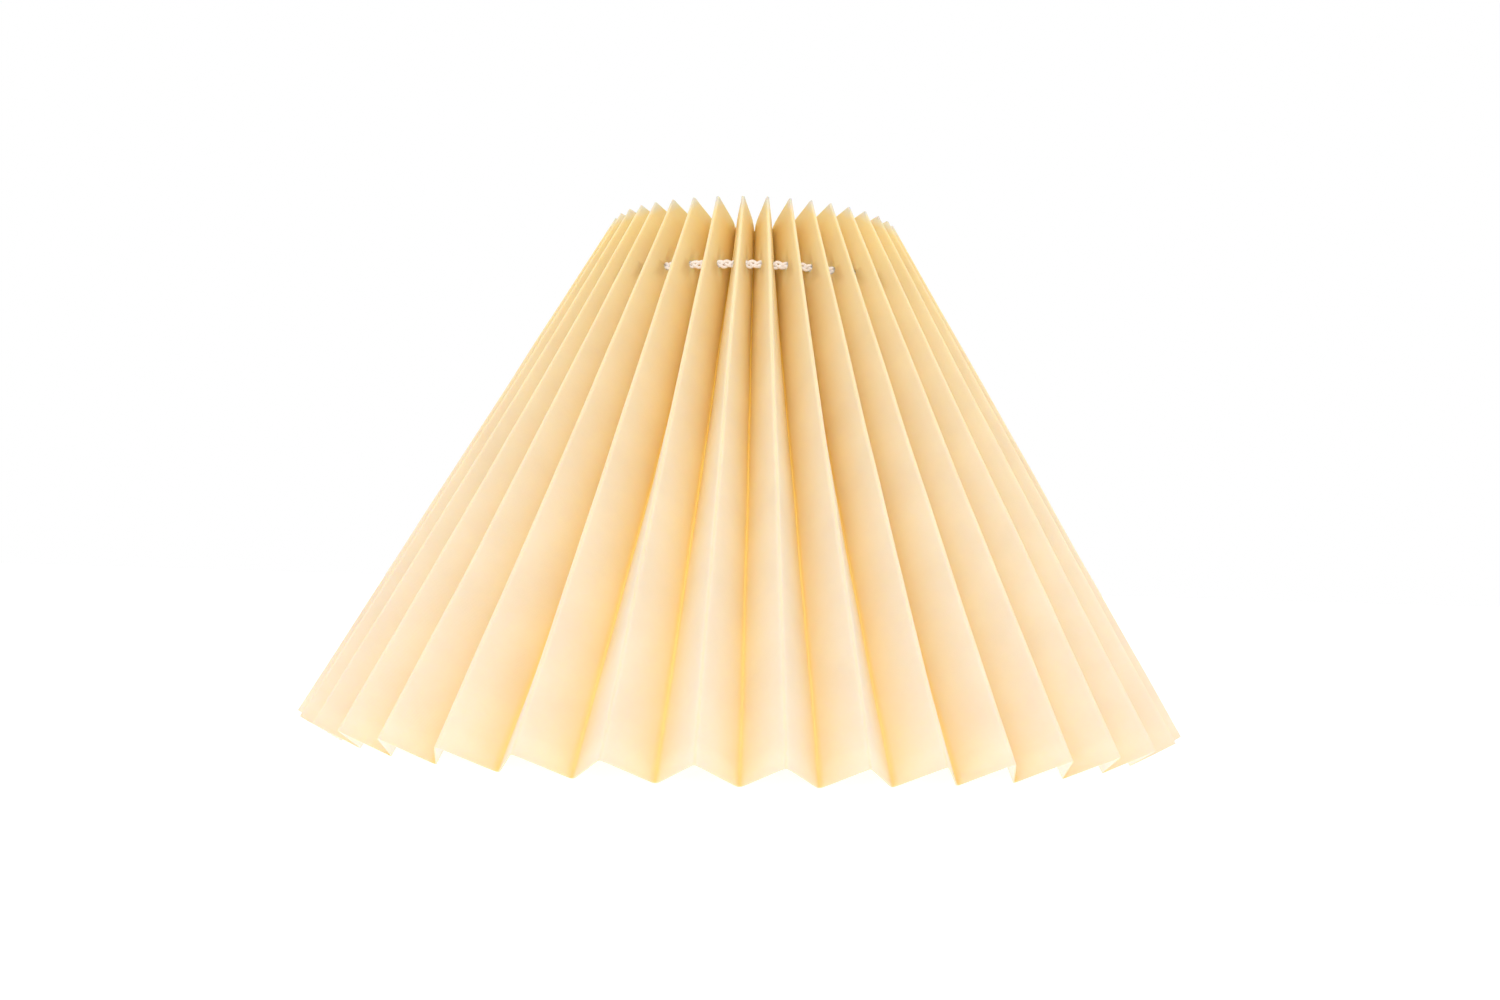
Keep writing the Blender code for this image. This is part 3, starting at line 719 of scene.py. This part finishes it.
def braid_tree(material):
    tree, given = node_tree(
        "Braid along a path", Braid_length=1.0, Strand_radius=1.0, Swing_up=1.0, Swing_in=1.0,
        Pinch=1.0, Pleats=1, Up=(0.0, 0.0, 1.0), Material=material)
    path = add(tree, "GeometryNodeMeshToCurve", {0: given["Geometry"]})
    fine = add(tree, "GeometryNodeResampleCurve", {"Curve": path, "Length": 0.45 * MM}, mode="LENGTH")
    strands = add(tree, "GeometryNodeDuplicateElements", {"Geometry": fine, "Amount": 3}, domain="SPLINE")
    here = add(tree, "ShaderNodeSeparateXYZ", {0: add(tree, "GeometryNodeInputPosition")})
    values = {"x": here.outputs[0], "y": here.outputs[1], "strand": strands.outputs["Duplicate Index"],
              "length": add(tree, "GeometryNodeSplineParameter").outputs["Length"], **given}
    work_out(tree, values, [
        ("swings", "DIVIDE", "length", "Braid length"),
        ("behind", "DIVIDE", "strand", 3.0),
        ("turns", "ADD", "swings", "behind"),
        ("phase", "MULTIPLY", "turns", 2 * pi),
        ("double", "MULTIPLY", "phase", 2.0),
        ("sway", "SINE", "phase"),
        ("cross", "SINE", "double"),
        # the pinch is tightest in the holes, which lie about a quarter of a pleat from its folds
        ("angle", "ARCTAN2", "x", "y"),
        ("pleat angle", "MULTIPLY", "angle", "Pleats"),
        ("open", "COSINE", "pleat angle"),
        ("open squared", "MULTIPLY", "open", "open"),
        ("closed", "SUBTRACT", 1.0, "open squared"),
        ("pinched", "MULTIPLY", "closed", "Pinch"),
        ("width", "SUBTRACT", 1.0, "pinched"),
        ("up", "MULTIPLY", "sway", "Swing up"),
        ("up here", "MULTIPLY", "up", "width"),
        ("in here", "MULTIPLY", "cross", "Swing in"),
    ])
    ahead = add(tree, "GeometryNodeInputTangent")
    side = add(tree, "ShaderNodeVectorMath", {0: ahead, 1: given["Up"]}, operation="CROSS_PRODUCT")
    side = add(tree, "ShaderNodeVectorMath", {0: side}, operation="NORMALIZE")
    over = add(tree, "ShaderNodeVectorMath", {0: side, 1: ahead}, operation="CROSS_PRODUCT")
    rise = add(tree, "ShaderNodeVectorMath", {0: over, "Scale": values["up here"]}, operation="SCALE")
    inward = add(tree, "ShaderNodeVectorMath", {0: side, "Scale": values["in here"]}, operation="SCALE")
    offset = add(tree, "ShaderNodeVectorMath", {0: rise, 1: inward}, operation="ADD")
    swung = add(tree, "GeometryNodeSetPosition", {"Geometry": strands, "Offset": offset})
    along = add(tree, "GeometryNodeCaptureAttribute", {"Geometry": swung})
    along.capture_items.new("FLOAT", "along")
    tree.links.new(add(tree, "GeometryNodeSplineParameter").outputs["Length"], along.inputs["along"])
    ring = add(tree, "GeometryNodeCurvePrimitiveCircle",
               {"Resolution": 8, "Radius": given["Strand radius"]})
    around = add(tree, "GeometryNodeCaptureAttribute", {"Geometry": ring})
    around.capture_items.new("FLOAT", "round")
    tree.links.new(add(tree, "GeometryNodeSplineParameter").outputs["Factor"], around.inputs["round"])
    tube = add(tree, "GeometryNodeCurveToMesh",
               {"Curve": along, "Profile Curve": around.outputs[0], "Fill Caps": True})
    yarn = add(tree, "ShaderNodeCombineXYZ", {0: along.outputs["along"], 1: around.outputs["round"]})
    mapped = add(tree, "GeometryNodeStoreNamedAttribute", {"Geometry": tube, "Name": "yarn", "Value": yarn},
                 data_type="FLOAT2", domain="CORNER")
    return end_tree(tree, add(tree, "GeometryNodeSetShadeSmooth", {"Geometry": mapped}), given)


def chain(name, points, closed=False):
    """An object whose mesh is one chain of edges."""
    mesh = bpy.data.meshes.new(name)
    count = len(points)
    edges = [(i, (i + 1) % count) for i in range(count if closed else count - 1)]
    mesh.from_pydata(points, edges, [])
    return new_object(name, mesh)


braid = braid_tree(cotton)
cord_low, cord_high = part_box("gathering_cord")
cord_half = (cord_high[2] - cord_low[2]) / 2
CORD_RING_R = cord_high[0] - cord_half
CORD_Z = cord_low[2] + cord_half
swings = round(2 * pi * CORD_RING_R / BRAID_LENGTH)
ring = chain("braided_cord", [(CORD_RING_R * sin(a), CORD_RING_R * cos(a), CORD_Z)
                              for a in full_turn(720)], closed=True)
node_modifier(ring, braid, Braid_length=2 * pi * CORD_RING_R / swings, Strand_radius=STRAND_R,
              Swing_up=BRAID_UP, Swing_in=BRAID_IN, Pinch=0.3, Pleats=PLEATS, Up=(0.0, 0.0, 1.0),
              Material=cotton)
ring = baked(ring)
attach(ring, "shade")
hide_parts("gathering_cord")
print("cord ring:", round(CORD_RING_R / MM, 1), "mm radius,", triangles(ring), "triangles")

# %% [markdown]
# ## The knot
#
# The two ends of the cord are tied in the groove at the back, where the front view doesn't show
# them. The knot is an overhand knot, whose path is the curve called a trefoil, pulled flat so that
# it fits between two strips. The ends lie side by side down the groove and are dipped in glue, so
# that they don't fray.

# %% Knot and ends
TAIL_LENGTH = 20 * MM
TAIL_DEPTH = 4.6 * MM       # under the crests on either side
TAIL_ASIDE = 1.55 * MM
TAIL_SPREAD = 0.15 * MM     # and this much farther apart at their tips
KNOT_SIZE = 0.95 * MM
KNOT_FLAT = 0.85            # how far the knot is pulled flat
KNOT_PROUD = 0.9 * MM       # out from the cord


def smooth_path(points, steps=8):
    """More points on a smooth curve through the given ones."""
    points = [Vector(p) for p in points]
    ends = [2 * points[0] - points[1]] + points + [2 * points[-1] - points[-2]]
    path = []
    for a, b, c, d in zip(ends, ends[1:], ends[2:], ends[3:]):
        for i in range(steps):
            t = i / steps
            path.append(0.5 * ((2 * b) + (c - a) * t + (2 * a - 5 * b + 4 * c - d) * t ** 2
                               + (3 * b - a - 3 * c + d) * t ** 3))
    return path + [points[-1]]


def groove_place(down, aside, depth):
    """A place in the groove at the back: down the fold from the cord, aside and under the crests."""
    s = CORD_S - down
    return Vector((aside, BOTTOM_R - s * LEAN_SIN - depth * LEAN_COS,
                   s * LEAN_COS - depth * LEAN_SIN + LIFT))


knot_middle = Vector((0, CORD_RING_R + KNOT_PROUD, CORD_Z))
loop = [knot_middle + Vector((sin(3 * t), KNOT_FLAT * (sin(t) + 2 * sin(2 * t)),
                              KNOT_FLAT * (cos(t) - 2 * cos(2 * t)))) * KNOT_SIZE
        for t in full_turn(90)]
knot_parts = [chain("braided_knot", loop, closed=True)]
for side in (-1, 1):
    start = knot_middle + Vector((side * 0.6, 0.6, -1.0)) * MM
    way = [start] + [groove_place(TAIL_LENGTH * share, side * (TAIL_ASIDE + share * TAIL_SPREAD),
                                  TAIL_DEPTH + (1 - share) * MM) for share in (0.3, 0.5, 0.75, 1.0)]
    knot_parts.append(chain("cord_end", smooth_path(way)))
for i, part in enumerate(knot_parts):
    up = (0.0, 1.0, 0.0) if i else (1.0, 0.0, 0.0)
    node_modifier(part, braid, Braid_length=BRAID_LENGTH * 0.8, Strand_radius=STRAND_R,
                  Swing_up=BRAID_UP * 0.7, Swing_in=BRAID_IN, Pinch=0.0, Pleats=PLEATS, Up=up,
                  Material=cotton)
knot_parts = [baked(part) for part in knot_parts]


def joined(name, objects):
    """One object from several, with all their materials."""
    bm = bmesh.new()
    mats = []
    for obj in objects:
        first = len(mats)
        mats += list(obj.data.materials)
        done = len(bm.faces)
        bm.from_mesh(obj.data)
        bm.faces.ensure_lookup_table()
        for face in bm.faces[done:]:
            face.material_index += first
        bpy.data.objects.remove(obj)
    return new_object(name, finished(name, bm), *mats)


def glued_tip(place, aim, material):
    """The end of a cord, rounded and hardened with glue."""
    bm = bmesh.new()
    bmesh.ops.create_uvsphere(bm, u_segments=20, v_segments=12, radius=1.0)
    bmesh.ops.scale(bm, vec=Vector((0.95, 0.95, 1.5)) * MM, verts=bm.verts)
    bmesh.ops.transform(bm, matrix=turned_to(place, aim, "Z"), verts=bm.verts)
    for face in bm.faces:
        face.smooth = True
    return new_object("glued_tip", finished("glued_tip", bm), material)


glue = plain_material("Cotton hardened with white glue", "#f2e9df", 0.4, 0.5 * MM, 0.08 * MM)
down_groove = (groove_place(TAIL_LENGTH, 0, TAIL_DEPTH) - groove_place(0, 0, TAIL_DEPTH)).normalized()
for side in (-1, 1):
    tip = groove_place(TAIL_LENGTH, side * (TAIL_ASIDE + TAIL_SPREAD), TAIL_DEPTH)
    knot_parts.append(glued_tip(tip, down_groove, glue))
knot = joined("tied_knot", knot_parts)
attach(knot, "shade")
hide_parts("cord_knot")
print("knot:", triangles(knot), "triangles")

# %% [markdown]
# ## The wire carrier
#
# Inside the shade a ring of steel wire carries the inner folds. Three bent spokes are spot-welded
# between it and the ring that sits on the lampholder. Each spoke lies under an outer fold, where
# the sheet leaves it room. One bent spoke with its two welds is repeated round the axis, by the
# same rule that the frame uses for the angles. The whole carrier is dipped in white enamel.

# %% Enamelled wire
SPOKES = 3
SPOKE_TURN = radians(32)    # about where the first spoke lies, from the front
SPOKE_FLAT = 7 * MM         # level run at each end of a spoke
SPOKE_BEND = 6 * MM

enamel = plain_material("White stoved enamel on steel", "#f1f0ec", 0.28, 1.2 * MM, 0.03 * MM)


def carrier_tree(material):
    tree, given = node_tree("Wire carrier", Rim_radius=1.0, Rim_height=1.0, Wire=1.0, Bend=1.0,
                            Spokes=1, First_angle=1.0, Pleats=1, Material=material)
    thick = add(tree, "ShaderNodeMath", {0: given["Wire"], 1: 0.5}, operation="MULTIPLY")
    section = add(tree, "GeometryNodeCurvePrimitiveCircle", {"Resolution": 20, "Radius": thick})
    rim = add(tree, "GeometryNodeCurvePrimitiveCircle",
              {"Resolution": 180, "Radius": given["Rim radius"]})
    up = add(tree, "ShaderNodeCombineXYZ", {2: given["Rim height"]})
    rim = add(tree, "GeometryNodeTransform", {"Geometry": rim, "Translation": up})
    rim = add(tree, "GeometryNodeCurveToMesh", {"Curve": rim, "Profile Curve": section})
    path = add(tree, "GeometryNodeMeshToCurve", {0: given["Geometry"]})
    bent = add(tree, "GeometryNodeFilletCurve",
               {"Curve": path, "Radius": given["Bend"], "Limit Radius": True, "Count": 10},
               mode="POLY")
    rod = add(tree, "GeometryNodeCurveToMesh", {"Curve": bent, "Profile Curve": section, "Fill Caps": True})
    ends = add(tree, "GeometryNodeCurveEndpointSelection")
    bead_r = add(tree, "ShaderNodeMath", {0: given["Wire"], 1: 0.66}, operation="MULTIPLY")
    bead = add(tree, "GeometryNodeMeshUVSphere", {"Segments": 20, "Rings": 12, "Radius": bead_r})
    beads = add(tree, "GeometryNodeInstanceOnPoints",
                {"Points": bent, "Selection": ends, "Instance": bead, "Scale": (1.25, 1.0, 0.85)})
    spoke = add(tree, "GeometryNodeJoinGeometry", {0: rod})
    tree.links.new(beads.outputs[0], spoke.inputs[0])
    values = {"number": add(tree, "GeometryNodeInputIndex").outputs[0], **given}
    work_out(tree, values, [
        ("pitch", "DIVIDE", 2 * pi, "Pleats"),
        ("share", "DIVIDE", "number", "Spokes"),
        ("wanted", "MULTIPLY_ADD", "share", 2 * pi, "First angle"),
        ("folds", "DIVIDE", "wanted", "pitch"),
        ("folds less half", "SUBTRACT", "folds", 0.5),
        ("nearest", "ROUND", "folds less half"),
        ("under fold", "ADD", "nearest", 0.5),
        ("angle", "MULTIPLY", "under fold", "pitch"),
    ])
    turned = add(tree, "ShaderNodeCombineXYZ", {2: values["angle"]})
    places = add(tree, "GeometryNodePoints", {"Count": given["Spokes"]})
    spokes = add(tree, "GeometryNodeInstanceOnPoints",
                 {"Points": places, "Instance": spoke, "Rotation": turned})
    whole = add(tree, "GeometryNodeJoinGeometry", {0: rim})
    tree.links.new(spokes.outputs[0], whole.inputs[0])
    return end_tree(tree, add(tree, "GeometryNodeSetShadeSmooth", {"Geometry": whole}), given)


rim_low, rim_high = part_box("carrier_rim_ring")
holder_low, holder_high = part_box("holder_ring")
rim_half = (rim_high[2] - rim_low[2]) / 2
WIRE = 2.4 * MM
RIM_R = rim_high[0] - rim_half
RIM_Z = rim_low[2] + rim_half
HOLDER_R = holder_high[0]
SPOKE_Z = (holder_low[2] + holder_high[2]) / 2
spoke_way = [(0, -r, z) for r, z in ((RIM_R - WIRE / 2, RIM_Z), (RIM_R - SPOKE_FLAT - WIRE, RIM_Z),
                                     (HOLDER_R + SPOKE_FLAT, SPOKE_Z), (HOLDER_R, SPOKE_Z))]
carrier = chain("wire_carrier", spoke_way)
node_modifier(carrier, carrier_tree(enamel), Rim_radius=RIM_R, Rim_height=RIM_Z, Wire=WIRE,
              Bend=SPOKE_BEND, Spokes=SPOKES, First_angle=SPOKE_TURN, Pleats=PLEATS, Material=enamel)
carrier = baked(carrier)
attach(carrier, "shade")
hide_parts("carrier_rim_ring", "carrier_spoke_1", "carrier_spoke_2", "carrier_spoke_3")
print("carrier:", triangles(carrier), "triangles")

# %% [markdown]
# ## Holder ring and reducer
#
# The holder ring is pressed from sheet steel: a flat flange with its outer edge turned down. The
# reducer is moulded in white plastic and drops into it, for a narrower lampholder. Both are turned
# from a profile, and a bevel gives the pressed one its soft corners and the moulded one its small
# ones. Fine ribs round the reducer's lip, repeated by a tree, give the fingers a hold.

# %% Turned rings
def turned(name, profile, bevel, material, sides=144):
    """A ring turned about the axis from a closed profile of (radius, height), with soft corners."""
    bm = bmesh.new()
    loops = [[bm.verts.new((r * sin(a), -r * cos(a), z)) for r, z in profile]
             for a in full_turn(sides)]
    for near, far in zip(loops, loops[1:] + loops[:1]):
        for k in range(len(profile)):
            n = (k + 1) % len(profile)
            bm.faces.new((near[k], near[n], far[n], far[k]))
    bmesh.ops.recalc_face_normals(bm, faces=bm.faces)
    for face in bm.faces:
        face.smooth = True
    obj = new_object(name, finished(name, bm), material)
    soft = obj.modifiers.new("corners", "BEVEL")
    soft.width = bevel
    soft.segments = 3
    soft.limit_method = "ANGLE"
    soft.angle_limit = radians(40)
    soft.harden_normals = True
    return baked(obj)


FLANGE = 6 * MM
STEEL = 1.6 * MM
holder_top, collar = holder_high[2], holder_high[2] - holder_low[2]
bore = HOLDER_R - FLANGE
holder = turned("pressed_holder_ring",
                [(bore, holder_top), (HOLDER_R, holder_top), (HOLDER_R, holder_top - collar),
                 (HOLDER_R - STEEL, holder_top - collar), (HOLDER_R - STEEL, holder_top - STEEL),
                 (bore, holder_top - STEEL)], 0.45 * MM, enamel)
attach(holder, "shade")
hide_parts("holder_ring")

# %% Reducer with its ribs
LIP_THICK = 1.6 * MM
SPIGOT = 20.5 * MM          # outer radius, half a millimetre inside the holder's bore
REDUCER_BORE = 14.5 * MM
RIBS = 72
RIB_R = 0.32 * MM
RIB_SHORT = 0.5 * MM        # less than the lip is thick, so that a rib ends inside its corners

plastic = plain_material("Moulded white polypropylene", "#f4f3ef", 0.4, 0.8 * MM, 0.02 * MM)


def round_tree(material):
    tree, given = node_tree("Copies round the axis", Count=1, Radius=1.0, Height=1.0, Material=material)
    circle = add(tree, "GeometryNodeMeshCircle",
                 {"Vertices": given["Count"], "Radius": given["Radius"]})
    up = add(tree, "ShaderNodeCombineXYZ", {2: given["Height"]})
    raised = add(tree, "GeometryNodeTransform", {"Geometry": circle, "Translation": up})
    copies = add(tree, "GeometryNodeInstanceOnPoints",
                 {"Points": raised, "Instance": given["Geometry"]})
    return end_tree(tree, copies, given)


reducer_low, reducer_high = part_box("reducer_ring")
lip_r, lip_top = reducer_high[0], reducer_high[2]
lip_foot = lip_top - LIP_THICK
ring_part = turned("reducer_body",
                   [(REDUCER_BORE, lip_top), (lip_r, lip_top), (lip_r, lip_foot), (SPIGOT, lip_foot),
                    (SPIGOT, reducer_low[2]), (REDUCER_BORE, reducer_low[2])], 0.25 * MM, plastic)
bm = bmesh.new()
bmesh.ops.create_cone(bm, cap_ends=True, segments=8, radius1=RIB_R, radius2=RIB_R,
                      depth=LIP_THICK - RIB_SHORT)
ribs = new_object("reducer_ribs", finished("rib", bm))
node_modifier(ribs, round_tree(plastic), Count=RIBS, Radius=lip_r, Height=lip_top - LIP_THICK / 2,
              Material=plastic)
reducer = joined("moulded_reducer", [ring_part, baked(ribs)])
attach(reducer, "reducer")
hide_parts("reducer_ring")
print("reducer:", triangles(reducer), "triangles")
